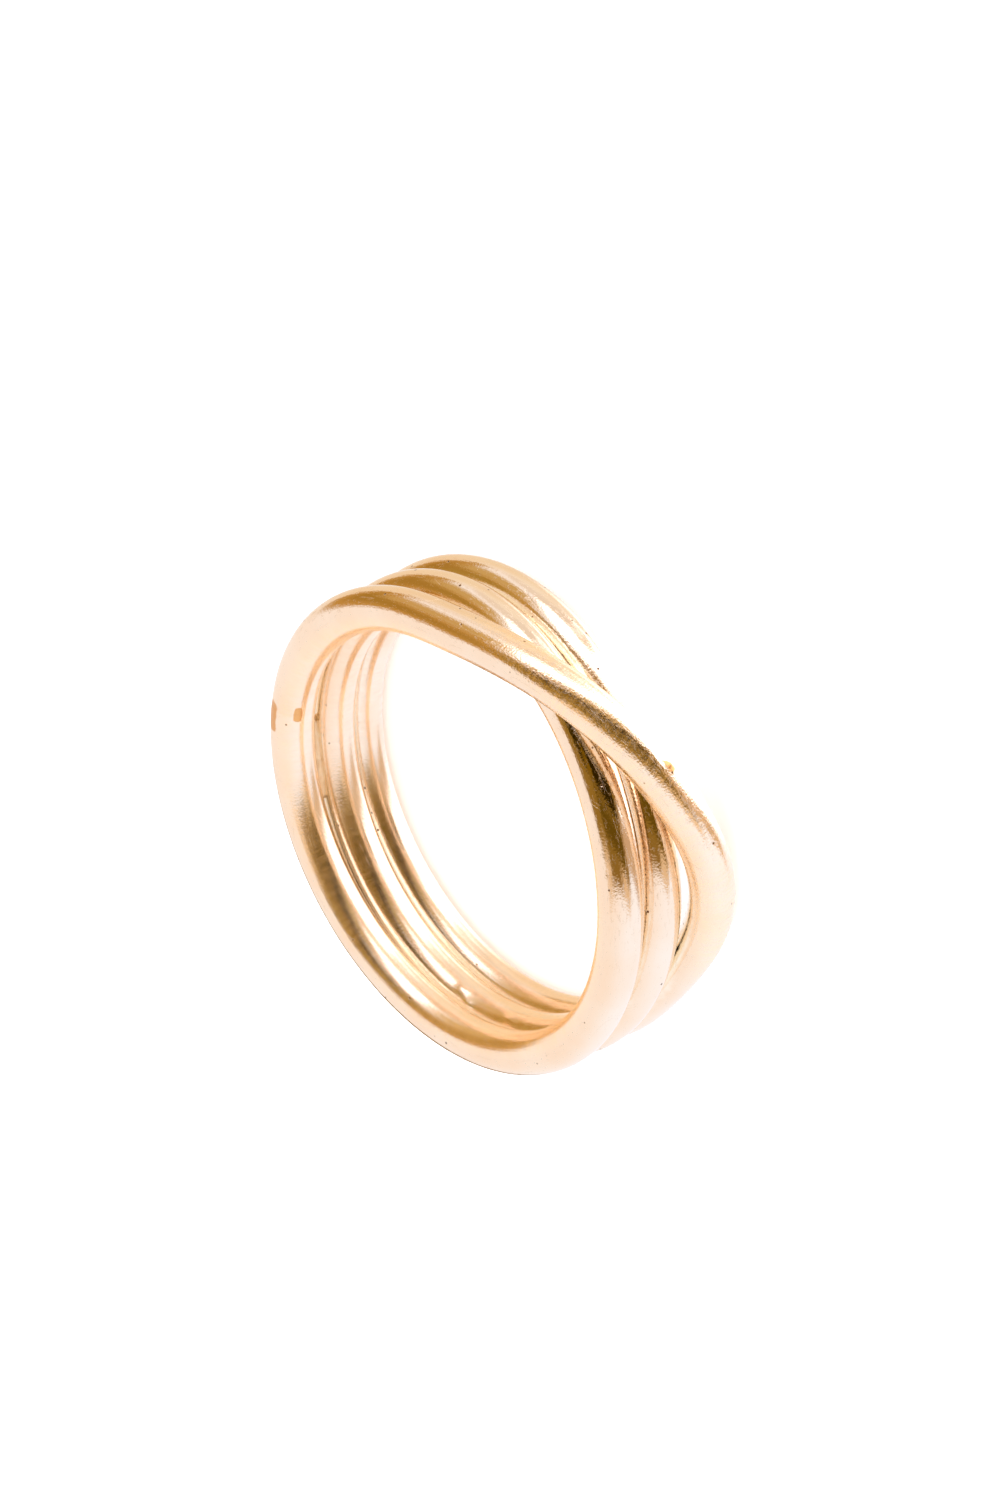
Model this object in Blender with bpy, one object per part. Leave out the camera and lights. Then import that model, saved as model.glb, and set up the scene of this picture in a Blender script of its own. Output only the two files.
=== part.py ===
"""Spiral ring: one round wire wound three times, with a turn crossing over the other two.

The ring lies on its side.  +Z is its finger axis, the rear turn rests on the ground at
z = 0, and the crossing faces -Y.  Lengths below are in millimetres and angles in
degrees, and both are converted once, when the curves are made.

Three lanes lie above each other all round the ring: rear, middle and front.  Over the
crossing the front turn climbs outside the others and comes down as the rear one, while
the rear and middle turns each move one lane up.  Followed three times round, the wire
closes on itself.
"""

import math

import bpy
from mathutils import Matrix, Vector

# Units
MM = 0.001

# Wire
WIRE_DIAMETER = 1.8
WIRE_SIDES = 16
SECTIONS_PER_TURN = 96

# Ring
RING_RADIUS = 9.2               # centre of the ring to the centre of the wire
OUT_OF_ROUND = 0.035            # share of the radius, as bent by hand
OUT_OF_ROUND_AT = 70.0          # direction of the long diameter, from the crossing
LANE_GAP = 0.02                 # air between turns that lie side by side

# Crossing, in degrees either side of its centre, along the wire
CROSS_HALF_ARC = 50.0           # where the top turn runs from the front to the rear lane
LIFT_HALF_ARC = 73.0            # where the top turn stands off the finger
LIFT = 2.18                     # how far it is lifted off at the centre
CLIMB_START = -110.0            # where the lower turns start to move one lane up
CLIMB_END = 75.0                # where they reach it

# Hand-made unevenness of the lanes
STAND_OFF = 0.5                 # widest opening under the front turn
STAND_OFF_AT = -45.0
SAG = 0.28                      # how far the middle turn sinks towards the finger
SAG_AT = -165.0
SAG_SPREAD = 52.0

# Solder joints in the two grooves between the turns
SOLDER_PLACES = (124.0, -155.5)     # degrees from the crossing, along the wire
SOLDER_ARC = 24.0
SOLDER_SECTIONS = 8
SOLDER_RADIUS = 0.37            # at the middle, sunk in the turns above and below
SOLDER_END_SHARE = 0.62         # radius of the blunt ends, as a share of the middle's
SOLDER_BEVEL_RESOLUTION = 3     # gives the section 10 sides

# Finish: polished gold-filled wire
GOLD_COLOUR = (0.83, 0.56, 0.26, 1.0)
GOLD_ROUGHNESS = 0.22
SHARP_ANGLE = 35.0              # degrees between faces, above which an edge stays crisp


def ease(value):
    """Ramp from 0 to 1 with no kink and no jump in bend at either end."""
    value = min(max(value, 0.0), 1.0)
    return value ** 3 * (10.0 - 15.0 * value + 6.0 * value ** 2)


def ease_slope(value):
    """Slope of ease() at the same value."""
    value = min(max(value, 0.0), 1.0)
    return 30.0 * value ** 2 * (1.0 - value) ** 2


def angle_between(angle, target):
    """Signed angle from target to angle, between -180 and 180 degrees."""
    return (angle - target + 180.0) % 360.0 - 180.0


def sag_at(angle):
    """How far the middle turn sinks towards the finger."""
    return SAG * math.exp(-(angle_between(angle, SAG_AT) / SAG_SPREAD) ** 2)


def lane_pitch(angle):
    """Height from one lane to the next, less where the middle turn sinks between them."""
    reach = WIRE_DIAMETER + LANE_GAP
    return math.sqrt(reach ** 2 - sag_at(angle) ** 2)


def stand_off(angle):
    """Opening under the front turn, widest beside the crossing and closed opposite it."""
    return STAND_OFF * 0.5 * (1.0 + math.cos(math.radians(angle - STAND_OFF_AT)))


def climb(angle):
    """Share of the way that the lower turns have moved up one lane."""
    return ease((angle - CLIMB_START) / (CLIMB_END - CLIMB_START))


def climb_stretch(angle):
    """Factor on the pitch that keeps sloping turns as far apart as level ones."""
    arc = math.radians(CLIMB_END - CLIMB_START) * RING_RADIUS
    share = (angle - CLIMB_START) / (CLIMB_END - CLIMB_START)
    slope = lane_pitch(angle) * ease_slope(share) / arc
    return math.sqrt(1.0 + slope ** 2)


def rear_to_middle(angle):
    """Radial offset and height of the turn that goes from the rear to the middle lane."""
    return -sag_at(angle) * climb(angle), lane_pitch(angle) * climb(angle)


def middle_to_front(angle):
    """Radial offset and height of the turn that goes from the middle to the front lane."""
    below = rear_to_middle(angle)[1]
    height = below + lane_pitch(angle) * climb_stretch(angle) + stand_off(angle) * climb(angle)
    return -sag_at(angle) * (1.0 - climb(angle)), height


def front_to_rear(angle):
    """Radial offset and height of the turn that crosses over the other two."""
    top = 2.0 * lane_pitch(angle) + stand_off(angle)
    down = ease((angle + CROSS_HALF_ARC) / (2.0 * CROSS_HALF_ARC))
    rise = ease((angle + LIFT_HALF_ARC) / LIFT_HALF_ARC)
    fall = ease(angle / LIFT_HALF_ARC)
    return LIFT * rise * (1.0 - fall), top * (1.0 - down)


# Each turn runs from half a turn before the crossing to half a turn after it.  The front
# turn ends in the rear lane, which is where the next one starts.
TURN_PATHS = (front_to_rear, rear_to_middle, middle_to_front)


def turns_by_lane(angle):
    """Paths of the turns in the rear, middle and front lane, beside the crossing."""
    if angle > 0.0:
        return front_to_rear, rear_to_middle, middle_to_front
    return rear_to_middle, middle_to_front, front_to_rear


def wire_centre(path, angle):
    """Centre of the wire in millimetres, with the crossing at -Y.

    Args:
        path: function that gives the radial offset and the height of one turn.
        angle: degrees from the centre of the crossing, along the wire.
    """
    offset, height = path(angle)
    oval = math.cos(math.radians(2.0 * (angle - OUT_OF_ROUND_AT)))
    radius = RING_RADIUS * (1.0 + OUT_OF_ROUND * oval) + offset
    around = math.radians(-90.0 - angle)
    return Vector((radius * math.cos(around), radius * math.sin(around), height))


def add_spline(curve, centres, radius_shares, cyclic):
    """Add one path to a curve.

    Args:
        curve: curve that takes the path.
        centres: points of the path in millimetres.
        radius_shares: factor on the curve's section at each point.
        cyclic: True closes the path on itself.
    """
    spline = curve.splines.new("POLY")
    spline.points.add(len(centres) - 1)
    for point, centre, share in zip(spline.points, centres, radius_shares):
        point.co = (*centre * MM, 1.0)
        point.radius = share
    spline.use_cyclic_u = cyclic


def new_curve(name):
    """An empty curve whose section keeps one side down all the way round."""
    curve = bpy.data.curves.new(name, "CURVE")
    curve.dimensions = "3D"
    curve.twist_mode = "Z_UP"
    curve.use_fill_caps = True
    return curve


def new_object(name, data):
    """Make an object and put it in the scene."""
    item = bpy.data.objects.new(name, data)
    bpy.context.scene.collection.objects.link(item)
    return item


def mesh_from_curve(curve):
    """Mesh of a curve's swept skin, its round sides shaded smooth."""
    sweep = new_object("sweep", curve)
    depsgraph = bpy.context.evaluated_depsgraph_get()
    mesh = bpy.data.meshes.new_from_object(sweep.evaluated_get(depsgraph))
    bpy.data.objects.remove(sweep, do_unlink=True)
    mesh.shade_smooth()
    mesh.set_sharp_from_angle(angle=math.radians(SHARP_ANGLE))
    return mesh


def make_profile():
    """The wire's round section, as a polygon with a flat side down, not shown itself."""
    curve = bpy.data.curves.new("wire_profile", "CURVE")
    curve.dimensions = "2D"
    curve.fill_mode = "NONE"
    corners = []
    for side in range(WIRE_SIDES):
        turn = 2.0 * math.pi * (side + 0.5) / WIRE_SIDES
        corners.append(Vector((math.sin(turn), -math.cos(turn), 0.0)) * WIRE_DIAMETER / 2.0)
    add_spline(curve, corners, [1.0] * WIRE_SIDES, cyclic=True)
    profile = new_object("wire_profile", curve)
    profile.hide_render = True
    return profile


def make_wire(profile):
    """The wire as one closed tube: the profile swept round all three turns."""
    step = 360.0 / SECTIONS_PER_TURN
    centres = []
    for path in TURN_PATHS:
        for index in range(SECTIONS_PER_TURN):
            centres.append(wire_centre(path, index * step - 180.0))
    curve = new_curve("wire_path")
    curve.bevel_mode = "OBJECT"
    curve.bevel_object = profile
    add_spline(curve, centres, [1.0] * len(centres), cyclic=True)
    wire = new_object("ring_wire", mesh_from_curve(curve))
    wire.data.materials.append(gold_material())
    return wire


def make_solder():
    """All solder joints, as a guide that is united with the wire and not shown itself."""
    curve = new_curve("solder_path")
    curve.bevel_depth = SOLDER_RADIUS * MM
    curve.bevel_resolution = SOLDER_BEVEL_RESOLUTION
    shares = [index / SOLDER_SECTIONS for index in range(SOLDER_SECTIONS + 1)]
    swell = [SOLDER_END_SHARE + (1.0 - SOLDER_END_SHARE) * math.sin(math.pi * s) for s in shares]
    for middle_angle in SOLDER_PLACES:
        lanes = turns_by_lane(middle_angle)
        for lower, upper in zip(lanes, lanes[1:]):
            angles = [middle_angle + SOLDER_ARC * (share - 0.5) for share in shares]
            groove = [(wire_centre(lower, a) + wire_centre(upper, a)) / 2.0 for a in angles]
            add_spline(curve, groove, swell, cyclic=False)
    solder = new_object("solder_guide", mesh_from_curve(curve))
    solder.hide_render = True
    solder.display_type = "WIRE"
    return solder


def gold_material():
    """Polished gold-filled wire."""
    material = bpy.data.materials.new("gold_filled_wire")
    material.use_nodes = True
    shader = material.node_tree.nodes["Principled BSDF"]
    shader.inputs["Base Color"].default_value = GOLD_COLOUR
    shader.inputs["Roughness"].default_value = GOLD_ROUGHNESS
    shader.inputs["Metallic"].default_value = 1.0
    material.diffuse_color = GOLD_COLOUR
    return material


def unite(item, guide):
    """Fuse a guide into an object, as solder fuses the turns into one piece of metal."""
    union = item.modifiers.new("solder", "BOOLEAN")
    union.operation = "UNION"
    union.solver = "EXACT"
    union.object = guide


def stand_on_origin(wire, solder):
    """Move both meshes so that the box round the wire stands on the origin."""
    corners = list(zip(*(vertex.co for vertex in wire.data.vertices)))
    low = Vector(min(axis) for axis in corners)
    high = Vector(max(axis) for axis in corners)
    base = Vector(((low.x + high.x) / 2.0, (low.y + high.y) / 2.0, low.z))
    for item in (wire, solder):
        item.data.transform(Matrix.Translation(-base))


def build():
    """Build the ring in an empty scene, standing on the origin."""
    for item in list(bpy.data.objects):
        bpy.data.objects.remove(item, do_unlink=True)
    profile = make_profile()
    wire = make_wire(profile)
    bpy.data.objects.remove(profile, do_unlink=True)
    solder = make_solder()
    unite(wire, solder)
    stand_on_origin(wire, solder)


build()
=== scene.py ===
"""Looks of the spiral ring: polished gold-filled wire in a white studio tent.

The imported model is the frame.  The fine wire follows the same rule as the CAD's, with the
same sizes, and stands in its place.  Lengths are millimetres and angles are degrees,
until the meshes are made.
"""

import logging
import math
from dataclasses import dataclass, field
from enum import Enum
from typing import Any, Iterable

import bpy
import numpy as np
from mathutils import Matrix, Vector


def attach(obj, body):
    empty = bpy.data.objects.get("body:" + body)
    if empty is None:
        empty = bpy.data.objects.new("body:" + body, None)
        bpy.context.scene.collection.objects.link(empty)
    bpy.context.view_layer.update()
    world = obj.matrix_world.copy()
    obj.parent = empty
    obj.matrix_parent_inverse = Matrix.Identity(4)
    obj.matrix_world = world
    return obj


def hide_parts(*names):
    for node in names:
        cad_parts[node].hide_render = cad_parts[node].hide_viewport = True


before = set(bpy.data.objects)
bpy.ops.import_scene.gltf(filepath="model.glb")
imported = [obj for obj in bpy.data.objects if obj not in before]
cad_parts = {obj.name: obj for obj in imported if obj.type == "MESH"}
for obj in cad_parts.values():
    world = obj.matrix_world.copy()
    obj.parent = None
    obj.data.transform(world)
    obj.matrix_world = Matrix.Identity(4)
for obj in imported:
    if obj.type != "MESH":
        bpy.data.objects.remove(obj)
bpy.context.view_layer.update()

MM = 0.001
MERGE_DISTANCE = 1e-6           # metres: points nearer than this are one
LOG = logging.getLogger("spiral_ring")

# Names for long types.  A node feeds an input by its first output.  A chain is its points
# in millimetres, with values at them by name.
Thing = bpy.types.Object
Tree = bpy.types.NodeTree
Node = bpy.types.Node
Socket = bpy.types.NodeSocket
Feed = Node | Socket
Array = np.ndarray
Chain = tuple[Array, dict[str, Array]]
Span = tuple[float, float]
Light = tuple[float, float, float]


class Turn(Enum):
    """The three turns in the order of the wire, each named for the lanes that it joins."""

    FRONT_TO_REAR = "front_to_rear"
    REAR_TO_MIDDLE = "rear_to_middle"
    MIDDLE_TO_FRONT = "middle_to_front"


# Small helpers


def linear(code: str) -> tuple[float, float, float, float]:
    """Turn an sRGB hex colour into the linear colour that a shader takes.

    Args:
        code: six hex digits after a hash sign.

    Returns:
        Linear red, green, blue and an alpha of 1.
    """
    channels = [int(code[at:at + 2], 16) / 255.0 for at in (1, 3, 5)]
    straight = [c / 12.92 if c <= 0.04045 else ((c + 0.055) / 1.055) ** 2.4 for c in channels]
    return (straight[0], straight[1], straight[2], 1.0)


def link(tree: Tree, feed: Feed, target: Socket) -> None:
    """Wire a socket, or the first output that a node has in use, to an input.

    Args:
        tree: takes the link.
        feed: the socket or node.
        target: the input.
    """
    if isinstance(feed, Node):
        feed = next(output for output in feed.outputs if output.enabled)
    tree.links.new(feed, target)


def add_node(tree: Tree, kind: str, inputs: dict | None = None, **settings: Any) -> Node:
    """Add a node, set it up and wire its inputs.

    Args:
        tree: takes the node.
        kind: Blender's name for the node's type.
        inputs: input names or numbers, each with a value or with what feeds it.
        settings: properties of the node.

    Returns:
        The new node.
    """
    node = tree.nodes.new(kind)
    for name, value in settings.items():
        setattr(node, name, value)
    for key, value in (inputs or {}).items():
        if isinstance(value, Feed):
            link(tree, value, node.inputs[key])
        else:
            node.inputs[key].default_value = value
    return node


def stack(tree: Tree, base: Any, layers: Iterable[tuple[Feed, Any]], kind: str = "FLOAT") -> Feed:
    """Lay values over each other, each where its mask is.

    Args:
        tree: takes the nodes.
        base: value at the bottom, or what feeds it.
        layers: masks and the value that each brings, from the bottom up.
        kind: Blender's name for the kind of value.

    Returns:
        What feeds the uppermost value.
    """
    for mask, value in layers:
        base = add_node(tree, "ShaderNodeMix", {"Factor": mask, "A": base, "B": value}, data_type=kind)
    return base


def ease(value: Array) -> Array:
    """Ramp from 0 to 1 with no kink and no jump in bend at either end."""
    value = np.clip(value, 0.0, 1.0)
    return value ** 3 * (10.0 - 15.0 * value + 6.0 * value ** 2)


def ease_slope(value: Array) -> Array:
    """Slope of ease() at the same value."""
    value = np.clip(value, 0.0, 1.0)
    return 30.0 * value ** 2 * (1.0 - value) ** 2


def half_turn_wrap(angle: Array) -> Array:
    """Bring angles into the range from -180 to 180 degrees."""
    return (angle + 180.0) % 360.0 - 180.0


def new_material(name: str) -> tuple[bpy.types.Material, Tree, Node]:
    """Make a material, and find its node tree and its shader.

    Args:
        name: name of the real material.

    Returns:
        The material, the tree and the shader.
    """
    material = bpy.data.materials.new(name)
    material.use_nodes = True
    return material, material.node_tree, material.node_tree.nodes["Principled BSDF"]


def new_thing(name: str, data: bpy.types.ID) -> Thing:
    """Make an object and put it in the scene.

    Args:
        name: name of the object.
        data: its mesh or camera.

    Returns:
        The object, at the origin.
    """
    thing = bpy.data.objects.new(name, data)
    bpy.context.scene.collection.objects.link(thing)
    return thing


def plain_mesh(source: Thing, name: str) -> Thing:
    """Replace an object and its live modifiers with one plain mesh of the same look.

    Args:
        source: object whose evaluated mesh is kept, and which is removed.
        name: name of the new object.

    Returns:
        The new object, at the origin.
    """
    evaluated = source.evaluated_get(bpy.context.evaluated_depsgraph_get())
    mesh = bpy.data.meshes.new_from_object(evaluated)
    mesh.name = name
    bpy.data.objects.remove(source, do_unlink=True)
    return new_thing(name, mesh)


def path_object(name: str, chains: Iterable[Chain]) -> Thing:
    """Make a mesh of open chains of edges, for Geometry Nodes to sweep.

    Args:
        name: name of the object.
        chains: the chains.

    Returns:
        An object whose points carry the named values.
    """
    points: list[tuple[float, float, float]] = []
    edges: list[tuple[int, int]] = []
    values: dict[str, list[float]] = {}
    for places, named in chains:
        first = len(points)
        points.extend(tuple(place) for place in places * MM)
        edges.extend((first + step, first + step + 1) for step in range(len(places) - 1))
        for key, numbers in named.items():
            values.setdefault(key, []).extend(numbers)
    mesh = bpy.data.meshes.new(name)
    mesh.from_pydata(points, edges, [])
    for key, numbers in values.items():
        mesh.attributes.new(key, "FLOAT", "POINT").data.foreach_set("value", numbers)
    return new_thing(name, mesh)


def start_tree(name: str, inputs: dict[str, str]) -> tuple[Tree, Any]:
    """Start a Geometry Nodes tree with named inputs.

    Args:
        name: name of the tree.
        inputs: input names and their kinds of value, next to the geometry.

    Returns:
        The tree, and the sockets that bring its inputs.
    """
    tree = bpy.data.node_groups.new(name, "GeometryNodeTree")
    for title, kind in {"Geometry": "Geometry", **inputs}.items():
        tree.interface.new_socket(title, in_out="INPUT", socket_type="NodeSocket" + kind)
    tree.interface.new_socket("Geometry", in_out="OUTPUT", socket_type="NodeSocketGeometry")
    return tree, tree.nodes.new("NodeGroupInput").outputs


def level_path(tree: Tree, chains: Feed) -> Node:
    """Turn chains of edges into curves whose section keeps one side up all the way."""
    path = add_node(tree, "GeometryNodeMeshToCurve", {"Mesh": chains})
    return add_node(tree, "GeometryNodeSetCurveNormal", {"Curve": path}, mode="Z_UP")


def end_sweep(tree: Tree, tube: Feed, travel: Feed, cell: Feed, detail: float, finish: Feed) -> None:
    """Close a swept tube, move its skin in and out a little by noise, and give it its finish.

    Args:
        tree: takes the nodes.
        tube: the swept tube.
        travel: whole travel of the skin, in metres.
        cell: size of one swell, in metres.
        detail: number of finer layers of noise.
        finish: the material.
    """
    closed = add_node(tree, "GeometryNodeMergeByDistance", {"Geometry": tube, "Distance": MERGE_DISTANCE})
    scale = add_node(tree, "ShaderNodeMath", {0: 1.0, 1: cell}, operation="DIVIDE")
    place = add_node(tree, "GeometryNodeInputPosition")
    swell = add_node(tree, "ShaderNodeTexNoise", {"Vector": place, "Scale": scale, "Detail": detail})
    centred = add_node(tree, "ShaderNodeMath", {0: swell, 1: 0.5}, operation="SUBTRACT")
    step = add_node(tree, "ShaderNodeMath", {0: centred, 1: travel}, operation="MULTIPLY")
    normal = add_node(tree, "GeometryNodeInputNormal")
    offset = add_node(tree, "ShaderNodeVectorMath", {0: normal, "Scale": step}, operation="SCALE")
    uneven = add_node(tree, "GeometryNodeSetPosition", {"Geometry": closed, "Offset": offset})
    smooth = add_node(tree, "GeometryNodeSetShadeSmooth", {"Geometry": uneven})
    real = add_node(tree, "GeometryNodeRealizeInstances", {"Geometry": smooth})
    dressed = add_node(tree, "GeometryNodeSetMaterial", {"Geometry": real, "Material": finish})
    add_node(tree, "NodeGroupOutput", {0: dressed})


def apply_tree(holder: Thing, tree: Tree, values: dict[str, Any]) -> None:
    """Put a Geometry Nodes tree on an object and set its named inputs.

    Args:
        holder: object that takes the modifier.
        tree: the tree.
        values: input names and their values.
    """
    modifier = holder.modifiers.new(tree.name, "NODES")
    modifier.node_group = tree
    for item in tree.interface.items_tree:
        if item.name in values:
            modifier[item.identifier] = values[item.name]


# The rule that the wire follows


@dataclass(frozen=True)
class WindingRule:
    """Driving sizes of the ring, as in the CAD, and the wire's centre line from them.

    An angle is counted along the wire from the middle of the crossing.
    """

    wire_diameter: float = 1.8
    ring_radius: float = 9.2            # centre of the ring to the centre of the wire
    out_of_round: float = 0.035         # share of the radius
    out_of_round_at: float = 70.0
    lane_gap: float = 0.02              # air between turns that lie side by side
    cross_half_arc: float = 50.0        # where the top turn goes from the front to the rear
    lift_half_arc: float = 73.0         # where the top turn stands off the finger
    lift: float = 2.18
    climb_start: float = -110.0         # where the lower turns start to move one lane up
    climb_end: float = 75.0
    stand_off: float = 0.5              # widest opening under the front turn
    stand_off_at: float = -45.0
    sag: float = 0.28                   # how far the middle turn sinks towards the finger
    sag_at: float = -165.0
    sag_spread: float = 52.0
    box_points: int = 1441              # on each turn, to find the ring's box

    def sag_depth(self, angle: Array) -> Array:
        """How far the middle turn sinks towards the finger."""
        return self.sag * np.exp(-(half_turn_wrap(angle - self.sag_at) / self.sag_spread) ** 2)

    def lane_pitch(self, angle: Array) -> Array:
        """Height from one lane to the next, less where the middle turn sinks."""
        reach = self.wire_diameter + self.lane_gap
        return np.sqrt(reach ** 2 - self.sag_depth(angle) ** 2)

    def opening(self, angle: Array) -> Array:
        """Gap under the front turn, widest beside the crossing and closed opposite it."""
        return self.stand_off * 0.5 * (1.0 + np.cos(np.radians(angle - self.stand_off_at)))

    def lower_turns(self, angle: Array) -> tuple[Array, Array, Array]:
        """Where the two turns under the crossing run.

        Args:
            angle: angles along the wire.

        Returns:
            Share of the climb, height of the turn below, height of the turn above.
        """
        share = (angle - self.climb_start) / (self.climb_end - self.climb_start)
        climb = ease(share)
        arc = math.radians(self.climb_end - self.climb_start) * self.ring_radius
        pitch = self.lane_pitch(angle)
        stretch = np.sqrt(1.0 + (pitch * ease_slope(share) / arc) ** 2)
        below = pitch * climb
        return climb, below, below + pitch * stretch + self.opening(angle) * climb

    def offsets(self, turn: Turn, angle: Array) -> tuple[Array, Array]:
        """Radial offset and height of a turn's centre.

        Args:
            turn: which of the three turns.
            angle: angles along the wire.

        Returns:
            Offset outward from the ring's radius, and height over the rear lane.
        """
        climb, below, above = self.lower_turns(angle)
        if turn is Turn.REAR_TO_MIDDLE:
            return -self.sag_depth(angle) * climb, below
        if turn is Turn.MIDDLE_TO_FRONT:
            return -self.sag_depth(angle) * (1.0 - climb), above
        down = ease((angle + self.cross_half_arc) / (2.0 * self.cross_half_arc))
        rise = ease((angle + self.lift_half_arc) / self.lift_half_arc)
        fall = ease(angle / self.lift_half_arc)
        top = 2.0 * self.lane_pitch(angle) + self.opening(angle)
        return self.lift * rise * (1.0 - fall), top * (1.0 - down)

    def round_radius(self, angle: Array) -> Array:
        """Radius of the slightly oval ring, without a turn's own offset."""
        oval = np.cos(np.radians(2.0 * (angle - self.out_of_round_at)))
        return self.ring_radius * (1.0 + self.out_of_round * oval)

    def centres(self, turn: Turn, angle: Array) -> Array:
        """Points on a turn's centre line, before the ring is stood on the origin.

        Args:
            turn: which of the three turns.
            angle: angles along the wire.

        Returns:
            One row of x, y and z for each angle.
        """
        offset, height = self.offsets(turn, angle)
        radius = self.round_radius(angle) + offset
        around = np.radians(-90.0 - angle)
        return np.stack([radius * np.cos(around), radius * np.sin(around), height], axis=1)

    def standing_point(self) -> Array:
        """Point under the middle of the ring's box, which goes to the origin.

        Returns:
            Its x, y and z.
        """
        angle = np.linspace(-180.0, 180.0, self.box_points)
        points = np.concatenate([self.centres(turn, angle) for turn in Turn])
        low, high = points.min(axis=0), points.max(axis=0)
        middle = (low + high) / 2.0
        return np.array([middle[0], middle[1], low[2] - self.wire_diameter / 2.0])

    def placed(self, turn: Turn, angle: Array) -> Array:
        """Points on a turn's centre line, where the frame has them."""
        return self.centres(turn, angle) - self.standing_point()

    def lanes(self, angle: float) -> tuple[Turn, Turn, Turn]:
        """Find which turn lies in which lane, beside the crossing.

        Args:
            angle: angle along the wire, below zero before the crossing.

        Returns:
            The turns in the rear, middle and front lane.
        """
        if angle > 0.0:
            return (Turn.FRONT_TO_REAR, Turn.REAR_TO_MIDDLE, Turn.MIDDLE_TO_FRONT)
        return (Turn.REAR_TO_MIDDLE, Turn.MIDDLE_TO_FRONT, Turn.FRONT_TO_REAR)


# Finishes


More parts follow.
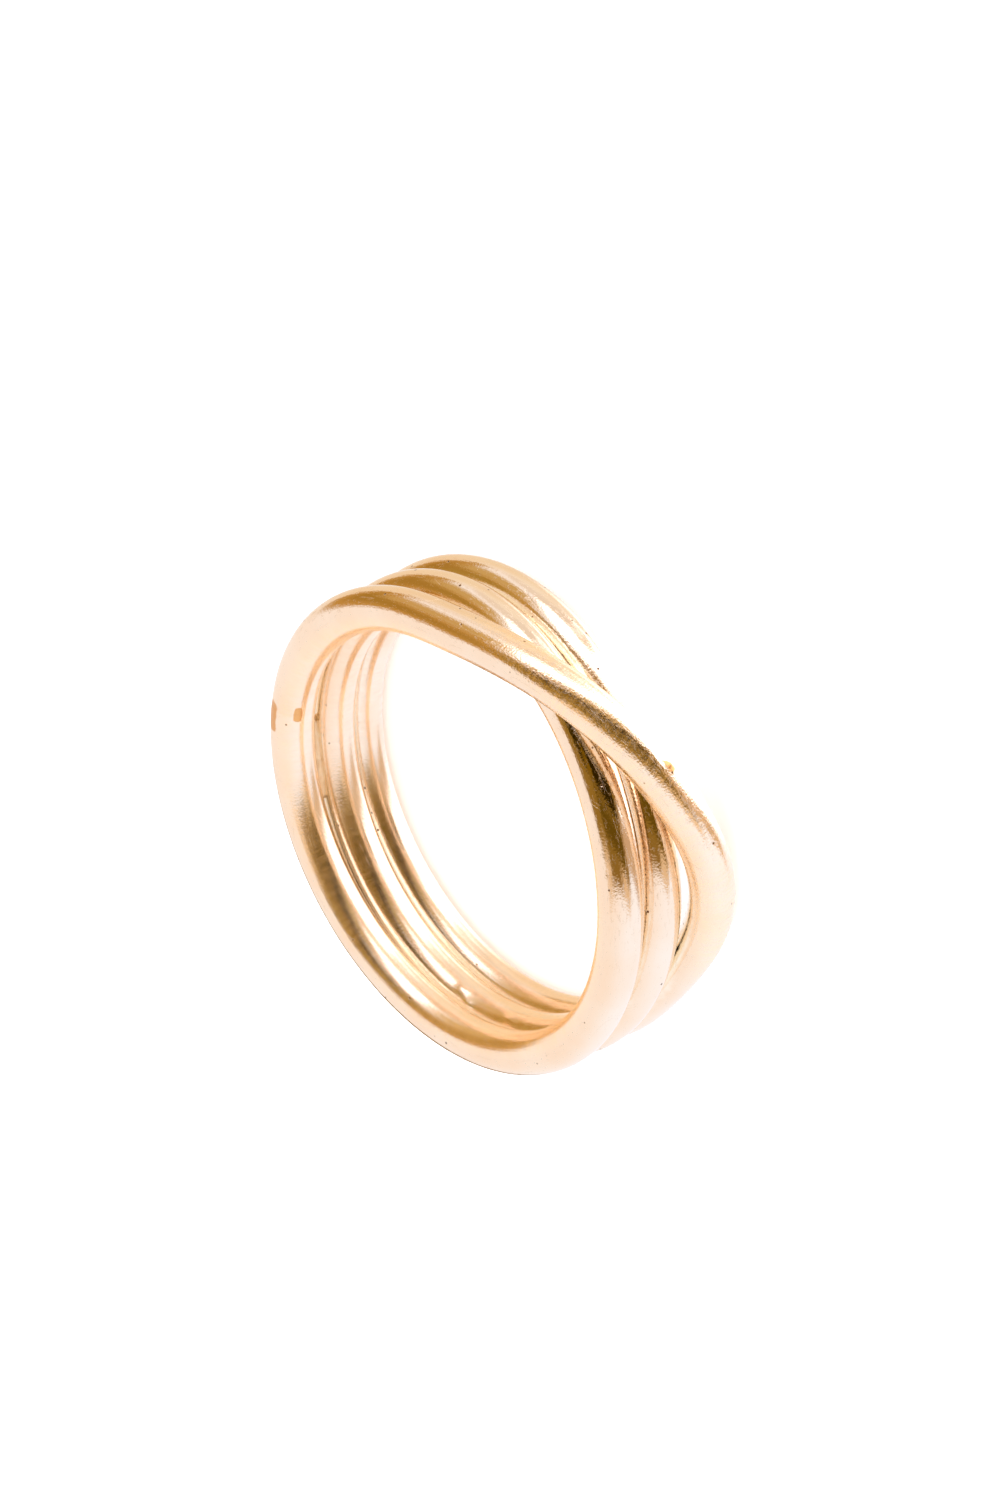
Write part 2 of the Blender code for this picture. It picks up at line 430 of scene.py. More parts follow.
@dataclass(frozen=True)
class GoldFilledWire:
    """Hard-drawn 14 karat gold-filled wire, tumbled bright and lightly worn.

    The gold mirrors the tent in peach and golden brown.  Tumbling leaves a fine orange
    peel, which breaks the edges of each reflection into grain.  The drawing die leaves
    lines along the wire, wear leaves scratches, frosted flecks and pits, and the grooves
    are rougher and painted paler, a painted lightening against the orange of light mirrored
    between the turns.  A span says where a layer starts and where it is full.
    """

    name: str = "gold_filled_wire"

    # Colours.  The grooves are painted paler, a painted lightening that offsets the orange that
    # light mirrored in them again and again would give.
    gold: str = "#FCEAD4"
    copper: str = "#FBE2C6"
    copper_cell: float = 1.0 / 0.45
    copper_noise: Span = (0.35, 0.75)
    groove: str = "#FFF5E4"
    stain: str = "#E3AC72"
    pit: str = "#6B4420"

    # Golden light that fine scratches throw off
    scratch_light: str = "#FFBA5C"
    worn_scatter: float = 0.17
    inner_scatter: float = 0.18
    scatter_noise: Span = (0.35, 0.65)
    scatter_swing: Span = (0.4, 1.6)

    # Roughness
    roughness: float = 0.07
    worn_roughness: float = 0.12
    inner_roughness: float = 0.21
    groove_roughness: float = 0.15
    inner_groove_roughness: float = 0.36
    stain_roughness: float = 0.30
    fleck_roughness: float = 0.30

    # Where each layer lies, by the reach outward, the gap to the next turn, and the stain
    worn_height: Span = (0.95, 1.9)
    inner_height: Span = (0.1, -0.55)
    groove_gap: Span = (0.75, 0.02)
    inner_groove_gap: Span = (0.38, 0.02)
    groove_cell: float = 0.5
    groove_edge: Span = (0.75, 1.45)
    stain_cover: Span = (0.0, 1.0)
    stain_cell: float = 0.3
    stain_edge: Span = (0.75, 1.05)
    residue_cover: Span = (0.9, 1.8)

    # Flecks and pits
    fleck_size: Span = (0.09, 0.26)     # across the wire and along it
    fleck_noise: Span = (0.53, 0.66)
    more_flecks: float = 0.03           # where the wire is worn, on top of the noise
    pit_cell: float = 0.7
    pit_radius: float = 0.05
    pit_edge: Span = (1.2, 0.7)         # shares of the radius
    empty_cells: float = 0.5            # share of the cells without a pit

    # Relief
    peel_cell: float = 0.08
    peel_depth: float = 0.0045
    worn_peel: float = 1.2              # how much deeper the peel is where the wire is worn
    line_size: Span = (0.08, 4.0)       # the die's own lines are finer than the render can show
    line_depth: float = 0.0035
    cross_scratch: Span = (0.8, 0.10)
    cross_scratch_bend: float = 0.4
    cross_scratch_depth: float = 0.003
    hairline_size: Span = (0.9, 3.0)
    hairline_width: float = 0.015
    hairline_depth: float = 0.003
    hairline_patch: float = 1.125
    hairline_noise: Span = (0.5, 0.6)
    pit_depth: float = 0.010

    def make(self) -> bpy.types.Material:
        """Build the material.

        Returns:
            A material that reads the wire's own attributes.
        """
        material, tree, shader = new_material(self.name)
        shader.inputs["Metallic"].default_value = 1.0
        wire = add_node(tree, "ShaderNodeAttribute", attribute_name="wire").outputs["Vector"]
        worn = self.ramp(tree, "stand_out", self.worn_height)
        inner = self.ramp(tree, "stand_out", self.inner_height)
        # Grooves are rougher and painted paler: painted lightening between the turns
        near = self.ramp(tree, "gap", self.groove_gap)
        groove = self.broken(tree, near, wire, self.groove_cell, self.groove_edge)
        covered = self.ramp(tree, "stain", self.stain_cover)
        stain = self.broken(tree, covered, wire, self.stain_cell, self.stain_edge)
        residue = self.ramp(tree, "stain", self.residue_cover)
        pits = self.pits(tree, wire)
        flecks = self.flecks(tree, wire, worn)
        # Inner grooves: the same painted lightening as the grooves, and rougher still
        nearer = self.ramp(tree, "gap", self.inner_groove_gap)
        painted_inner_groove = add_node(tree, "ShaderNodeMath", {0: nearer, 1: inner}, operation="MULTIPLY")
        redder = self.patches(tree, wire, self.copper_cell, 4.0, self.copper_noise)
        colours = ((redder, self.copper), (groove, self.groove), (painted_inner_groove, self.groove),
                   (stain, self.stain), (residue, self.pit), (pits, self.pit))
        tint = stack(tree, linear(self.gold), ((mask, linear(code)) for mask, code in colours), "RGBA")
        link(tree, tint, shader.inputs["Base Color"])
        rough = stack(tree, self.roughness, (
            (worn, self.worn_roughness), (flecks, self.fleck_roughness), (inner, self.inner_roughness),
            (groove, self.groove_roughness), (painted_inner_groove, self.inner_groove_roughness),
            (stain, self.stain_roughness), (pits, self.stain_roughness)))
        link(tree, rough, shader.inputs["Roughness"])
        self.scatter(tree, shader, wire, worn, inner)
        self.relief(tree, shader, wire, worn, pits)
        return material

    def ramp(self, tree: Tree, attribute: str, ends: Span) -> Node:
        """Mask that goes from 0 to 1 as an attribute goes from one end to the other.

        Args:
            tree: takes the nodes.
            attribute: name of a float attribute in millimetres.
            ends: attribute values where the result is 0 and 1.

        Returns:
            The mask.
        """
        value = add_node(tree, "ShaderNodeAttribute", attribute_name=attribute).outputs["Fac"]
        return add_node(tree, "ShaderNodeMapRange", {
            "Value": value, "From Min": ends[0], "From Max": ends[1]},
            interpolation_type="SMOOTHSTEP")

    def broken(self, tree: Tree, mask: Feed, wire: Feed, cell: float, edge: Span) -> Node:
        """Break the edge of a mask up with noise.

        Args:
            tree: takes the nodes.
            mask: the clean mask.
            wire: place on the wire.
            cell: size of the patches in millimetres.
            edge: sums of mask and noise where the result is 0 and 1.

        Returns:
            The broken mask.
        """
        noise = add_node(tree, "ShaderNodeTexNoise", {"Vector": wire, "Scale": 1.0 / cell, "Detail": 3.0})
        uneven = add_node(tree, "ShaderNodeMath", {0: noise, 1: mask}, operation="ADD")
        return add_node(tree, "ShaderNodeMapRange", {
            "Value": uneven, "From Min": edge[0], "From Max": edge[1]},
            interpolation_type="SMOOTHSTEP")

    def streaks(self, tree: Tree, wire: Feed, size: Span, detail: float, bend: float = 0.0) -> Node:
        """Noise that is drawn out along the wire or across it.

        Args:
            tree: takes the nodes.
            wire: place on the wire.
            size: size of a streak across the wire and along it, in millimetres.
            detail: number of finer layers of noise.
            bend: how crooked the streaks are.

        Returns:
            The noise.
        """
        across, along = size
        drawn_out = add_node(tree, "ShaderNodeMapping", {
            "Vector": wire, "Scale": (1.0 / across, 1.0 / across, 1.0 / along)})
        return add_node(tree, "ShaderNodeTexNoise", {
            "Vector": drawn_out, "Scale": 1.0, "Detail": detail, "Distortion": bend})

    def patches(self, tree: Tree, wire: Feed, cell: float, detail: float, noise: Span) -> Node:
        """Soft patches, where a noise is high.

        Args:
            tree: takes the nodes.
            wire: place on the wire.
            cell: size of the patches in millimetres.
            detail: number of finer layers of noise.
            noise: noise where the result is 0 and 1.

        Returns:
            Mask of the patches.
        """
        cloud = add_node(tree, "ShaderNodeTexNoise", {"Vector": wire, "Scale": 1.0 / cell, "Detail": detail})
        return add_node(tree, "ShaderNodeMapRange", {
            "Value": cloud, "From Min": noise[0], "From Max": noise[1]})

    def pits(self, tree: Tree, wire: Feed) -> Node:
        """Scattered small pits.

        Args:
            tree: takes the nodes.
            wire: place on the wire.

        Returns:
            Mask of the pits.
        """
        cells = add_node(tree, "ShaderNodeTexVoronoi", {"Vector": wire, "Scale": 1.0 / self.pit_cell})
        size = self.pit_radius / self.pit_cell
        start, full = self.pit_edge
        hole = add_node(tree, "ShaderNodeMapRange", {
            "Value": cells.outputs["Distance"], "From Min": size * start, "From Max": size * full})
        drawn = add_node(tree, "ShaderNodeSeparateColor", {0: cells.outputs["Color"]})
        chosen = add_node(tree, "ShaderNodeMath", {
            0: drawn, 1: self.empty_cells}, operation="GREATER_THAN")
        return add_node(tree, "ShaderNodeMath", {0: hole, 1: chosen}, operation="MULTIPLY")

    def flecks(self, tree: Tree, wire: Feed, worn: Feed) -> Node:
        """Short frosted flecks along the wire, which sparkle where it mirrors something dark.

        Args:
            tree: takes the nodes.
            wire: place on the wire.
            worn: mask of the wear.

        Returns:
            Mask of the flecks.
        """
        noise = self.streaks(tree, wire, self.fleck_size, 2.0)
        denser = add_node(tree, "ShaderNodeMath", {
            0: worn, 1: self.more_flecks, 2: noise}, operation="MULTIPLY_ADD")
        return add_node(tree, "ShaderNodeMapRange", {
            "Value": denser, "From Min": self.fleck_noise[0], "From Max": self.fleck_noise[1]})

    def scatter(self, tree: Tree, shader: Node, wire: Feed, worn: Feed, inner: Feed) -> None:
        """Golden light that fine scratches throw off, stronger and weaker in strokes.

        Args:
            tree: takes the nodes.
            shader: the material's shader.
            wire: place on the wire.
            worn: mask of the wear.
            inner: mask of the ring's inner side.
        """
        shader.inputs["Sheen Roughness"].default_value = 1.0
        shader.inputs["Sheen Tint"].default_value = linear(self.scratch_light)
        strokes = self.streaks(tree, wire, self.cross_scratch, 2.0, self.cross_scratch_bend)
        (low, high), (least, most) = self.scatter_noise, self.scatter_swing
        uneven = add_node(tree, "ShaderNodeMapRange", {
            "Value": strokes, "From Min": low, "From Max": high, "To Min": least, "To Max": most})
        inside = add_node(tree, "ShaderNodeMath", {
            0: inner, 1: self.inner_scatter}, operation="MULTIPLY")
        rubbed = add_node(tree, "ShaderNodeMath", {
            0: worn, 1: self.worn_scatter, 2: inside}, operation="MULTIPLY_ADD")
        weight = add_node(tree, "ShaderNodeMath", {0: rubbed, 1: uneven}, operation="MULTIPLY")
        link(tree, weight, shader.inputs["Sheen Weight"])

    def relief(self, tree: Tree, shader: Node, wire: Feed, worn: Feed, pits: Feed) -> None:
        """Orange peel, drawing lines, cross scratches, hairlines and pits as bumps.

        Args:
            tree: takes the nodes.
            shader: the material's shader.
            wire: place on the wire.
            worn: mask of the wear.
            pits: mask of the pits.
        """
        peel = add_node(tree, "ShaderNodeTexNoise", {
            "Vector": wire, "Scale": 1.0 / self.peel_cell, "Detail": 1.0})
        deeper = add_node(tree, "ShaderNodeMath", {
            0: worn, 1: self.worn_peel, 2: 1.0}, operation="MULTIPLY_ADD")
        peeled = add_node(tree, "ShaderNodeMath", {0: peel, 1: deeper}, operation="MULTIPLY")
        rubs = self.streaks(tree, wire, self.cross_scratch, 1.0, self.cross_scratch_bend)
        rubbed = add_node(tree, "ShaderNodeMath", {0: rubs, 1: worn}, operation="MULTIPLY")
        height = 0.0
        for layer, depth in (
                (peeled, self.peel_depth),
                (self.streaks(tree, wire, self.line_size, 2.0), self.line_depth),
                (rubbed, self.cross_scratch_depth),
                (self.hairlines(tree, wire), -self.hairline_depth),
                (pits, -self.pit_depth)):
            height = add_node(tree, "ShaderNodeMath", {
                0: layer, 1: depth, 2: height}, operation="MULTIPLY_ADD")
        bump = add_node(tree, "ShaderNodeBump", {"Height": height, "Strength": 1.0, "Distance": MM})
        link(tree, bump, shader.inputs["Normal"])

    def hairlines(self, tree: Tree, wire: Feed) -> Node:
        """Thin curved scratches, drawn where a smooth noise passes its middle value.

        Args:
            tree: takes the nodes.
            wire: place on the wire.

        Returns:
            Mask of the scratches.
        """
        slopes = self.streaks(tree, wire, self.hairline_size, 0.0)
        lines = add_node(tree, "ShaderNodeMath", {
            0: slopes, 1: 0.5, 2: self.hairline_width}, operation="COMPARE")
        seen = self.patches(tree, wire, self.hairline_patch, 1.0, self.hairline_noise)
        return add_node(tree, "ShaderNodeMath", {0: lines, 1: seen}, operation="MULTIPLY")


@dataclass(frozen=True)
class GoldSolder:
    """Gold solder that has run along the grooves: redder than the wire, satin and grainy."""

    name: str = "gold_solder"
    light: str = "#FFEBCB"
    dark: str = "#F8D6A4"
    roughness: Span = (0.34, 0.50)
    grain: float = 0.22
    grain_depth: float = 0.02

    def make(self) -> bpy.types.Material:
        """Build the material.

        Returns:
            A material that reads Object coordinates.
        """
        material, tree, shader = new_material(self.name)
        shader.inputs["Metallic"].default_value = 1.0
        place = add_node(tree, "ShaderNodeTexCoord").outputs["Object"]
        grains = add_node(tree, "ShaderNodeTexNoise", {
            "Vector": place, "Scale": 1.0 / (self.grain * MM), "Detail": 3.0})
        tint = add_node(tree, "ShaderNodeMix", {
            "Factor": grains, "A": linear(self.dark), "B": linear(self.light)},
            data_type="RGBA")
        link(tree, tint, shader.inputs["Base Color"])
        rough = add_node(tree, "ShaderNodeMapRange", {
            "Value": grains, "To Min": self.roughness[1], "To Max": self.roughness[0]})
        link(tree, rough, shader.inputs["Roughness"])
        bump = add_node(tree, "ShaderNodeBump", {
            "Height": grains, "Strength": 1.0, "Distance": self.grain_depth * MM})
        link(tree, bump, shader.inputs["Normal"])
        return material


@dataclass(frozen=True)
class SweepPaper:
    """Matt white card, which the tent's light turns almost pure white."""

    name: str = "white_card"
    colour: str = "#F6F4F4"
    roughness: float = 0.9

    def make(self) -> bpy.types.Material:
        """Build the material.

        Returns:
            A matt material without gloss.
        """
        material, _, shader = new_material(self.name)
        shader.inputs["Base Color"].default_value = linear(self.colour)
        shader.inputs["Roughness"].default_value = self.roughness
        shader.inputs["Specular IOR Level"].default_value = 0.0
        return material


# The ring


@dataclass(frozen=True)
class Mark:
    """A small dent, burr or stain, placed by its turn, its angle along and its side.

    The side is 0 outward and 90 to the front.  A positive height stands proud.  A stain
    of 1 covers the gold, and one over 1 also holds dark polish residue.
    """

    turn: Turn
    angle: float
    side: float
    length: float
    width: float
    height: float = 0.0
    stain: float = 0.0


@dataclass
class WirePlaces:
    """Where each point of the wire's skin is: its turn, angle, side, gap and reach."""

    turn: Array
    angle: Array
    side: Array
    gap: Array
    stand_out: Array


@dataclass
class RingWire:
    """The wire, swept round all three turns and closed at its butt joint."""

    rule: WindingRule = field(default_factory=WindingRule)
    sections_per_turn: int = 480
    sides: int = 64
    waver: float = 0.012                # hand-bent unevenness, in and out together
    waver_cell: float = 2.6
    joint_angle: float = -138.0
    joint_sink: float = 0.004
    joint_width: float = 0.14
    tangent_step: float = 0.5           # degrees either side that give the wire's direction
    marks: tuple[Mark, ...] = (
        Mark(Turn.FRONT_TO_REAR, -4.0, -4.0, 0.14, 0.12, 0.05, 1.6),
        Mark(Turn.FRONT_TO_REAR, -5.4, 2.0, 0.16, 0.10, -0.02, 0.5),
        Mark(Turn.MIDDLE_TO_FRONT, 14.5, 71.0, 0.12, 0.08, -0.02, 0.2),
        Mark(Turn.FRONT_TO_REAR, -137.0, 149.0, 0.42, 0.19, 0.0, 0.9),
        Mark(Turn.FRONT_TO_REAR, -140.5, 70.0, 0.80, 0.34, 0.0, 0.75),
        Mark(Turn.REAR_TO_MIDDLE, 123.5, 146.0, 0.30, 0.20, 0.05),
        Mark(Turn.REAR_TO_MIDDLE, 119.5, 120.0, 0.22, 0.16, 0.03),
        Mark(Turn.REAR_TO_MIDDLE, 104.0, 135.0, 0.32, 0.20, 0.05),
    )

    def centre_line(self) -> Chain:
        """Centre line from the butt joint all the way round to it.

        Returns:
            Points, the last on the first, and the length along the wire at each.
        """
        step = 360.0 / self.sections_per_turn
        angle = np.arange(-180.0, 180.0, step)
        loop = np.concatenate([self.rule.placed(turn, angle) for turn in Turn])
        loop = np.roll(loop, -int(round((self.joint_angle + 180.0) / step)), axis=0)
        loop = np.concatenate([loop, loop[:1]])
        along = np.concatenate([[0.0], np.cumsum(np.linalg.norm(np.diff(loop, axis=0), axis=1))])
        return loop, {"along": along}

    def tree(self) -> Tree:
        """Geometry Nodes that sweep a round section along the centre line.

        Returns:
            A tree with the wire's radius, sides, waver and finish as inputs.
        """
        tree, given = start_tree("wire_sweep", {
            "Wire Radius": "Float", "Sides": "Int", "Waver": "Float", "Waver Cell": "Float",
            "Finish": "Material"})
        circle = add_node(tree, "GeometryNodeCurvePrimitiveCircle", {
            "Resolution": given["Sides"], "Radius": given["Wire Radius"]})
        share = add_node(tree, "GeometryNodeSplineParameter")
        section = add_node(tree, "GeometryNodeCaptureAttribute", {"Geometry": circle})
        section.capture_items.new("FLOAT", "Share")
        link(tree, share.outputs["Factor"], section.inputs["Share"])
        tube = add_node(tree, "GeometryNodeCurveToMesh", {
            "Curve": level_path(tree, given["Geometry"]), "Profile Curve": section})
        place = self.wire_place(tree, section.outputs["Share"], given["Wire Radius"])
        stored = add_node(tree, "GeometryNodeStoreNamedAttribute", {
            "Geometry": tube, "Name": "wire", "Value": place},
            data_type="FLOAT_VECTOR", domain="CORNER")
        end_sweep(tree, stored, given["Waver"], given["Waver Cell"], 1.0, given["Finish"])
        return tree

    def wire_place(self, tree: Tree, share: Feed, radius: Feed) -> Node:
        """Place on the unrolled wire, for patterns that follow it.

        Args:
            tree: takes the nodes.
            share: share of the way round the section.
            radius: radius of the wire.

        Returns:
            Two distances across the section and the length along, in millimetres.
        """
        along = add_node(tree, "GeometryNodeInputNamedAttribute", {"Name": "along"}, data_type="FLOAT")
        turn = add_node(tree, "ShaderNodeMath", {0: share, 1: 2.0 * math.pi}, operation="MULTIPLY")
        scaled = add_node(tree, "ShaderNodeMath", {0: radius, 1: 1.0 / MM}, operation="MULTIPLY")
        parts = []
        for operation in ("COSINE", "SINE"):
            wave = add_node(tree, "ShaderNodeMath", {0: turn}, operation=operation)
            parts.append(add_node(tree, "ShaderNodeMath", {0: wave, 1: scaled}, operation="MULTIPLY"))
        return add_node(tree, "ShaderNodeCombineXYZ", {0: parts[0], 1: parts[1], 2: along})

    def find_places(self, points: Array) -> WirePlaces:
        """Find where points of the skin are on the wire, and how near the next turn is.

        Args:
            points: points in millimetres, in the frame.

        Returns:
            The places, with gaps and reaches in millimetres.
        """
        ring = points + self.rule.standing_point()
        angle = half_turn_wrap(-90.0 - np.degrees(np.arctan2(ring[:, 1], ring[:, 0])))
        around = np.radians(-90.0 - angle)
        outward = np.stack([np.cos(around), np.sin(around), 0.0 * angle], axis=1)
        distances, sides = [], []
        for turn in Turn:
            ahead = self.rule.centres(turn, angle + self.tangent_step)
            step = ahead - self.rule.centres(turn, angle - self.tangent_step)
            tangent = step / np.linalg.norm(step, axis=1, keepdims=True)
            away = ring - self.rule.centres(turn, angle)
            across = away - tangent * np.sum(away * tangent, axis=1, keepdims=True)
            distances.append(np.linalg.norm(across, axis=1))
            sides.append(np.degrees(np.arctan2(across[:, 2], np.sum(across * outward, axis=1))))
        order = np.argsort(np.array(distances), axis=0)
        own = order[0]
        rows = np.arange(len(points))
        return WirePlaces(
            turn=own,
            angle=angle,
            side=np.array(sides)[own, rows],
            gap=np.maximum(np.array(distances)[order[1], rows] - self.rule.wire_diameter / 2.0, 0.0),
            stand_out=np.hypot(ring[:, 0], ring[:, 1]) - self.rule.round_radius(angle),
        )

    def length_from(self, places: WirePlaces, angle: float) -> Array:
        """Length along the wire from an angle, on whichever turn."""
        return np.radians(half_turn_wrap(places.angle - angle)) * self.rule.ring_radius

    def leave_marks(self, places: WirePlaces) -> tuple[Array, Array]:
        """Press dents, raise burrs, stain the gold and sink the butt joint's seam.

        Args:
            places: where the points are on the wire.

        Returns:
            Height of each point over the plain wire, and its stain.
        """
        away = self.length_from(places, self.joint_angle) / self.joint_width
        same = places.turn == list(Turn).index(Turn.FRONT_TO_REAR)
        height = -self.joint_sink * same * np.exp(-away ** 2)
        stain = np.zeros_like(height)
        for mark in self.marks:
            same = places.turn == list(Turn).index(mark.turn)
            along = self.length_from(places, mark.angle)
            around = np.radians(half_turn_wrap(places.side - mark.side)) * self.rule.wire_diameter / 2.0
            bell = np.exp(-(along / mark.length) ** 2 - (around / mark.width) ** 2)
            patch = np.exp(-(along / mark.length) ** 4 - (around / mark.width) ** 4)
            height = height + same * mark.height * bell
            stain = np.maximum(stain, same * mark.stain * patch)
        return height, stain

    def build(self) -> Thing:
        """Make the wire as a plain mesh and let it stand for the CAD node.

        Returns:
            The finished piece.
        """
        holder = path_object("wire_path", [self.centre_line()])
        apply_tree(holder, self.tree(), {
            "Wire Radius": self.rule.wire_diameter / 2.0 * MM,
            "Sides": self.sides,
            "Waver": self.waver * MM,
            "Waver Cell": self.waver_cell * MM,
            "Finish": GoldFilledWire().make(),
        })
        wire = plain_mesh(holder, "spiral_wire")
        mesh = wire.data
        points = np.empty(len(mesh.vertices) * 3, dtype=np.float32)
        normals = np.empty_like(points)
        mesh.vertices.foreach_get("co", points)
        mesh.vertices.foreach_get("normal", normals)
        points = points.reshape(-1, 3).astype(float) / MM
        places = self.find_places(points)
        height, stain = self.leave_marks(places)
        moved = points + normals.reshape(-1, 3).astype(float) * height[:, None]
        mesh.vertices.foreach_set("co", (moved * MM).astype(np.float32).ravel())
        for name, values in (("gap", places.gap), ("stand_out", places.stand_out), ("stain", stain)):
            layer = mesh.attributes.new(name, "FLOAT", "POINT")
            layer.data.foreach_set("value", values.astype(np.float32))
        mesh.update()
        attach(wire, "root")
        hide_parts("ring_wire")
        return wire


@dataclass
class SolderSeams:
    """Solder run into the two grooves beside the crossing and opposite it."""

    rule: WindingRule = field(default_factory=WindingRule)
    places: tuple[float, ...] = (124.0, -155.5)
    arc: float = 24.0
    sections: int = 160
    sides: int = 20
    radius: float = 0.37
    end_share: float = 0.45             # radius near the ends, as a share of the middle's
    closing: float = 1.0 / 18.0         # share of the arc over which an end closes
    lump: float = 0.10
    lump_cell: float = 0.7

    def grooves(self) -> list[Chain]:
        """Paths along the grooves, with the seam's radius at each point.

        Returns:
            For each seam its points in millimetres, and its radius in metres.
        """
        paths = []
        share = np.linspace(0.0, 1.0, self.sections + 1)
        swell = self.end_share + (1.0 - self.end_share) * np.sin(math.pi * share)
        from_end = np.minimum(share, 1.0 - share)
        swell = swell * np.sqrt(np.clip(from_end / self.closing, 0.0, 1.0))
        for middle in self.places:
            angle = middle + self.arc * (share - 0.5)
            lanes = self.rule.lanes(middle)
            for lower, upper in zip(lanes, lanes[1:]):
                centre = (self.rule.placed(lower, angle) + self.rule.placed(upper, angle)) / 2.0
                paths.append((centre, {"seam_radius": self.radius * MM * swell}))
        return paths

    def tree(self) -> Tree:
        """Geometry Nodes that sweep an uneven round bead along the grooves.

        Returns:
            A tree with the bead's sides, lumps and finish as inputs.
        """
        tree, given = start_tree("solder_bead", {
            "Sides": "Int", "Lump": "Float", "Lump Cell": "Float", "Finish": "Material"})
        radius = add_node(tree, "GeometryNodeInputNamedAttribute", {
            "Name": "seam_radius"}, data_type="FLOAT")
        circle = add_node(tree, "GeometryNodeCurvePrimitiveCircle", {
            "Resolution": given["Sides"], "Radius": 1.0})
        tube = add_node(tree, "GeometryNodeCurveToMesh", {
            "Curve": level_path(tree, given["Geometry"]), "Profile Curve": circle, "Scale": radius})
        end_sweep(tree, tube, given["Lump"], given["Lump Cell"], 2.0, given["Finish"])
        return tree

    def build(self) -> Thing:
        """Make all seams as one plain mesh.

        Returns:
            The finished piece.
        """
        holder = path_object("seam_paths", self.grooves())
        apply_tree(holder, self.tree(), {
            "Sides": self.sides,
            "Lump": self.lump * MM,
            "Lump Cell": self.lump_cell * MM,
            "Finish": GoldSolder().make(),
        })
        seams = plain_mesh(holder, "solder_seams")
        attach(seams, "root")
        return seams


# The studio


@dataclass(frozen=True)
class Viewpoint:
    """Where the camera stands: the direction to the ring, the roll and the lens."""

    azimuth: float = 9.374
    elevation: float = 38.617
    roll: float = -114.820
    aim: tuple[float, float, float] = (2.565, -1.354, 3.0)
    distance: float = 164.87
    lens: float = 100.8
    sensor: float = 36.0
    clip: Span = (0.001, 10.0)          # metres

    def axes(self) -> Matrix:
        """Directions of the picture, as seen in the frame.

        Returns:
            Columns: the picture's right, the picture's up, and back towards the lens.
        """
        turn, tilt, roll = (math.radians(a) for a in (self.azimuth, self.elevation, self.roll))
        back = Vector((
            math.sin(turn) * math.cos(tilt), -math.cos(turn) * math.cos(tilt), math.sin(tilt)))
        level = Vector((math.cos(turn), math.sin(turn), 0.0))
        rise = back.cross(level)
        right = math.cos(roll) * level + math.sin(roll) * rise
        up = back.cross(right)
        return Matrix((right, up, back)).transposed()

    def make_camera(self) -> Thing:
        """Set the camera up and make it the scene's.

        Returns:
            The camera.
        """
        data = bpy.data.cameras.new("camera")
        data.lens = self.lens
        data.sensor_width = self.sensor
        data.clip_start, data.clip_end = self.clip
        camera = new_thing("camera", data)
        axes = self.axes()
        place = Vector(self.aim) * MM + axes.col[2] * self.distance * MM
        camera.matrix_world = Matrix.Translation(place) @ axes.to_4x4()
        bpy.context.scene.camera = camera
        return camera


@dataclass(frozen=True)
class Card:
    """A soft-edged patch of the tent, placed by angles seen from the ring.

    Across is measured from the lens to the picture's right, and up from the lens upward.
    Soft is half the width of the fading edge, at the sides and at top and bottom.  Slant is
    how far the patch rises per degree to the right.
    """

    name: str
    across: Span
    up: Span
    soft: Span
    light: Light
    slant: float = 0.0


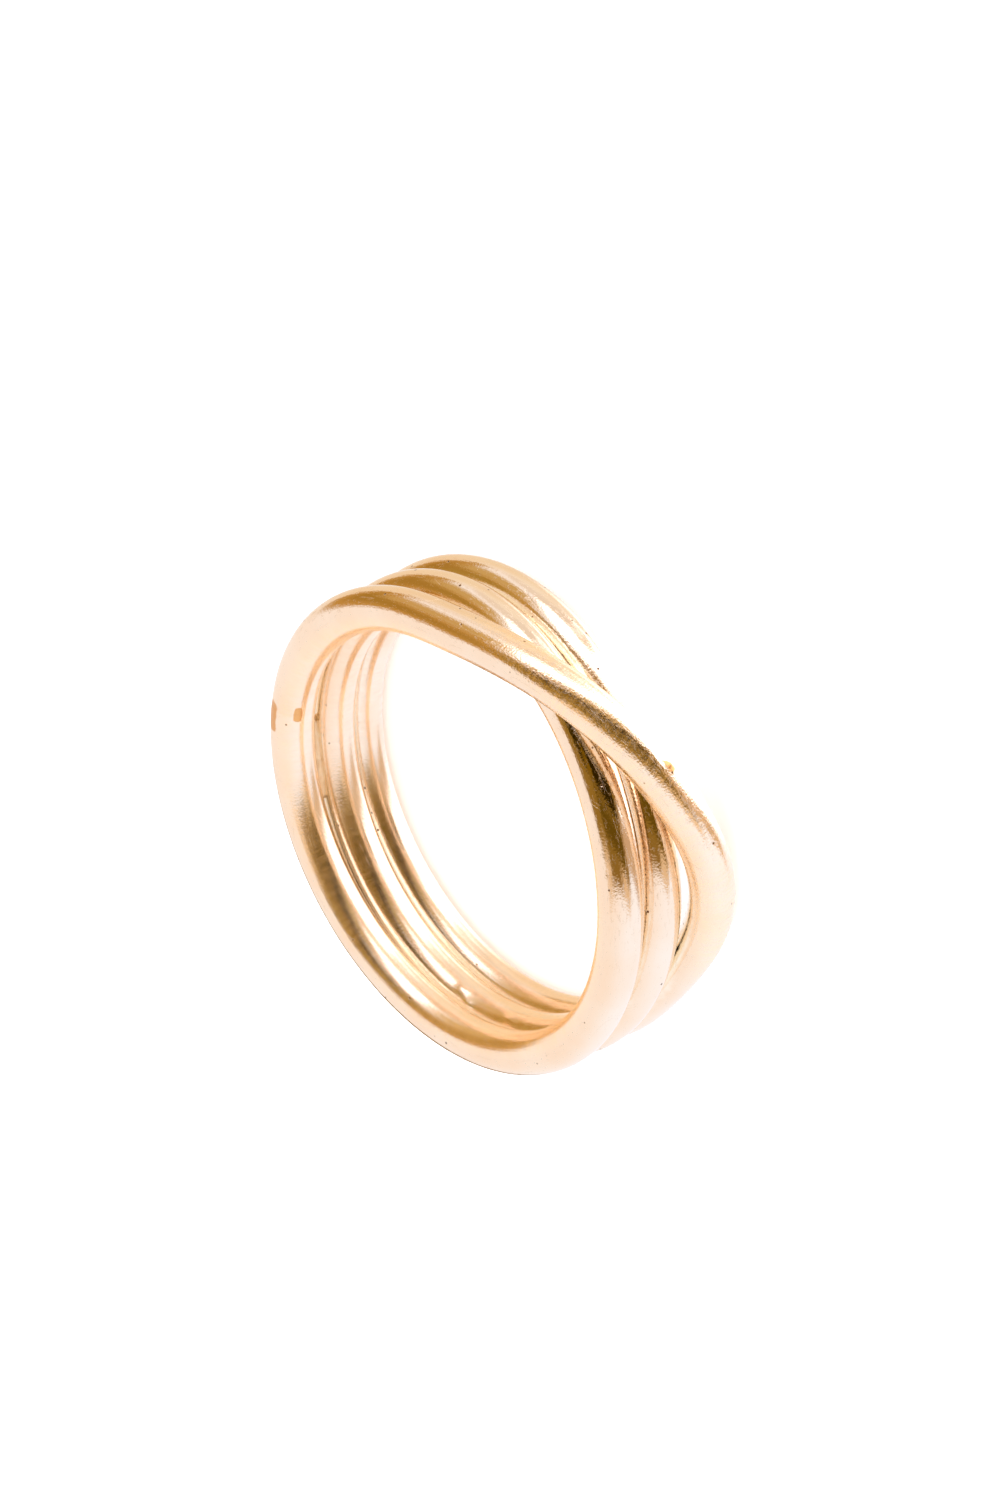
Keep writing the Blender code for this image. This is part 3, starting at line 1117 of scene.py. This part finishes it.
@dataclass
class Studio:
    """White tent, softbox, dark gaps round the lens, and a pale floor."""

    view: Viewpoint = field(default_factory=Viewpoint)
    left_paper: Light = (1.02, 0.95, 0.94)
    right_paper: Light = (1.04, 1.10, 1.27)
    paper_turn: float = 0.8             # sine of the angle to the side where each is full
    floor_light: float = 2.4
    floor_size: float = 400.0
    cards: tuple[Card, ...] = (
        Card("softbox", (-48.0, 162.0), (6.0, 74.0), (5.0, 5.0), (2.30, 2.20, 2.35)),
        Card("softbox rim", (10.0, 100.0), (61.0, 69.0), (10.0, 3.0), (0.90, 0.76, 0.62)),
        Card("tent roof", (-200.0, 200.0), (70.0, 110.0), (5.0, 4.0), (0.88, 0.76, 0.66)),
        Card("roof seam", (112.0, 205.0), (45.0, 86.0), (12.0, 8.0), (0.98, 0.87, 0.74)),
        Card("far corner", (-205.0, -128.0), (18.0, 66.0), (22.0, 14.0), (0.92, 0.74, 0.53)),
        Card("side gap", (-139.0, -62.0), (6.0, 50.0), (4.0, 5.0), (0.55, 0.30, 0.075), -0.40),
        Card("side gap top", (-112.0, -58.0), (36.0, 60.0), (10.0, 8.0), (0.61, 0.39, 0.14)),
        Card("side gap core", (-128.0, -74.0), (18.0, 38.0), (8.0, 7.0), (0.41, 0.22, 0.038), -0.40),
        Card("boom", (-22.0, 48.0), (15.0, 35.0), (9.0, 7.0), (0.52, 0.34, 0.13)),
        Card("boom arm", (-64.0, -12.0), (19.0, 30.0), (5.0, 4.0), (0.40, 0.24, 0.08), 0.12),
        Card("table edge", (-60.0, 58.0), (-35.0, -20.0), (8.0, 4.0), (0.80, 0.58, 0.37)),
        Card("low front gap", (-34.0, 20.0), (-33.0, -14.0), (9.0, 4.0), (0.27, 0.15, 0.026)),
        Card("front gap", (-68.0, 60.0), (-23.0, 18.0), (7.0, 3.0), (0.30, 0.17, 0.028)),
        Card("front gap end", (48.0, 112.0), (-14.0, 5.0), (8.0, 4.0), (0.62, 0.42, 0.26)),
        Card("over the lens", (-48.0, 46.0), (0.0, 17.0), (7.0, 4.0), (0.028, 0.014, 0.000)),
        Card("under the lens", (-30.0, 46.0), (-19.0, -4.0), (8.0, 4.0), (0.13, 0.072, 0.005)),
        Card("lens ring", (-31.0, -18.0), (0.0, 9.0), (4.0, 3.0), (0.22, 0.115, 0.005)),
        Card("low shade", (-178.0, -150.0), (-26.0, -8.0), (4.0, 5.0), (0.33, 0.18, 0.050)),
    )

    def make_world(self) -> None:
        """Mirror the cards in the ring, and show an even white everywhere else."""
        world = bpy.data.worlds.new("studio_tent")
        bpy.context.scene.world = world
        world.use_nodes = True
        world.cycles.sampling_method = "NONE"
        tree = world.node_tree
        background = tree.nodes["Background"]
        direction = add_node(tree, "ShaderNodeTexCoord").outputs["Generated"]
        axes = self.view.axes()
        right_part, up_part, back_part = (
            add_node(tree, "ShaderNodeVectorMath", {
                0: direction, 1: tuple(axes.col[column])}, operation="DOT_PRODUCT")
            for column in range(3))
        across = add_node(tree, "ShaderNodeMath", {0: right_part, 1: back_part}, operation="ARCTAN2")
        up = add_node(tree, "ShaderNodeMath", {0: up_part}, operation="ARCSINE")
        side = add_node(tree, "ShaderNodeMapRange", {
            "Value": right_part, "From Min": -self.paper_turn, "From Max": self.paper_turn},
            interpolation_type="SMOOTHSTEP")
        light = add_node(tree, "ShaderNodeMix", {
            "Factor": side, "A": (*self.left_paper, 1.0), "B": (*self.right_paper, 1.0)},
            data_type="RGBA")
        masks = [self.card_mask(tree, card, across, up) for card in self.cards]
        light = stack(tree, light, zip(masks, ((*card.light, 1.0) for card in self.cards)), "RGBA")
        path = add_node(tree, "ShaderNodeLightPath")
        even = (self.floor_light, self.floor_light, self.floor_light, 1.0)
        final = add_node(tree, "ShaderNodeMix", {
            "Factor": path.outputs["Is Glossy Ray"], "A": even, "B": light}, data_type="RGBA")
        link(tree, final, background.inputs["Color"])

    def card_mask(self, tree: Tree, card: Card, across: Feed, up: Feed) -> Node:
        """Mask of one card.

        Args:
            tree: takes the nodes.
            card: the card.
            across: angle to the right, in radians.
            up: angle upward, in radians.

        Returns:
            1 inside the card, 0 outside, and soft at its edges.
        """
        middle = [math.radians(sum(span) / 2.0) for span in (card.across, card.up)]
        half = [(span[1] - span[0]) / 2.0 for span in (card.across, card.up)]
        moved = add_node(tree, "ShaderNodeMath", {0: across, 1: middle[0]}, operation="SUBTRACT")
        away = add_node(tree, "ShaderNodeMath", {0: moved, 1: math.pi, 2: -math.pi}, operation="WRAP")
        slanted = add_node(tree, "ShaderNodeMath", {
            0: away, 1: -card.slant, 2: up}, operation="MULTIPLY_ADD")
        raised = add_node(tree, "ShaderNodeMath", {0: slanted, 1: middle[1]}, operation="SUBTRACT")
        masks = []
        for angle, reach, soft in zip((away, raised), half, card.soft):
            size = add_node(tree, "ShaderNodeMath", {0: angle}, operation="ABSOLUTE")
            masks.append(add_node(tree, "ShaderNodeMapRange", {
                "Value": size, "From Min": math.radians(reach + soft),
                "From Max": math.radians(reach - soft)},
                interpolation_type="SMOOTHSTEP"))
        return add_node(tree, "ShaderNodeMath", {0: masks[0], 1: masks[1]}, operation="MULTIPLY")

    def make_floor(self) -> Thing:
        """A plain pale floor, left out of the metal's mirror image.

        Returns:
            The floor.
        """
        half = self.floor_size * MM / 2.0
        corners = [(-half, -half, 0.0), (half, -half, 0.0), (half, half, 0.0), (-half, half, 0.0)]
        mesh = bpy.data.meshes.new("floor")
        mesh.from_pydata(corners, [], [(0, 1, 2, 3)])
        floor = new_thing("floor", mesh)
        floor.data.materials.append(SweepPaper().make())
        floor.visible_glossy = False
        return floor

    def build(self) -> None:
        """Set up the camera, the light and the floor."""
        self.view.make_camera()
        self.make_world()
        self.make_floor()
        settings = bpy.context.scene.view_settings
        settings.view_transform = "Standard"
        settings.look = "None"


def report(piece: Thing) -> None:
    """Log the size of a finished piece."""
    LOG.info("%s: %d faces", piece.name, len(piece.data.polygons))


def main() -> None:
    """Build the ring and the studio round it."""
    logging.basicConfig(level=logging.INFO, format="%(message)s")
    report(RingWire().build())
    report(SolderSeams().build())
    Studio().build()


if __name__ == "__main__":
    main()
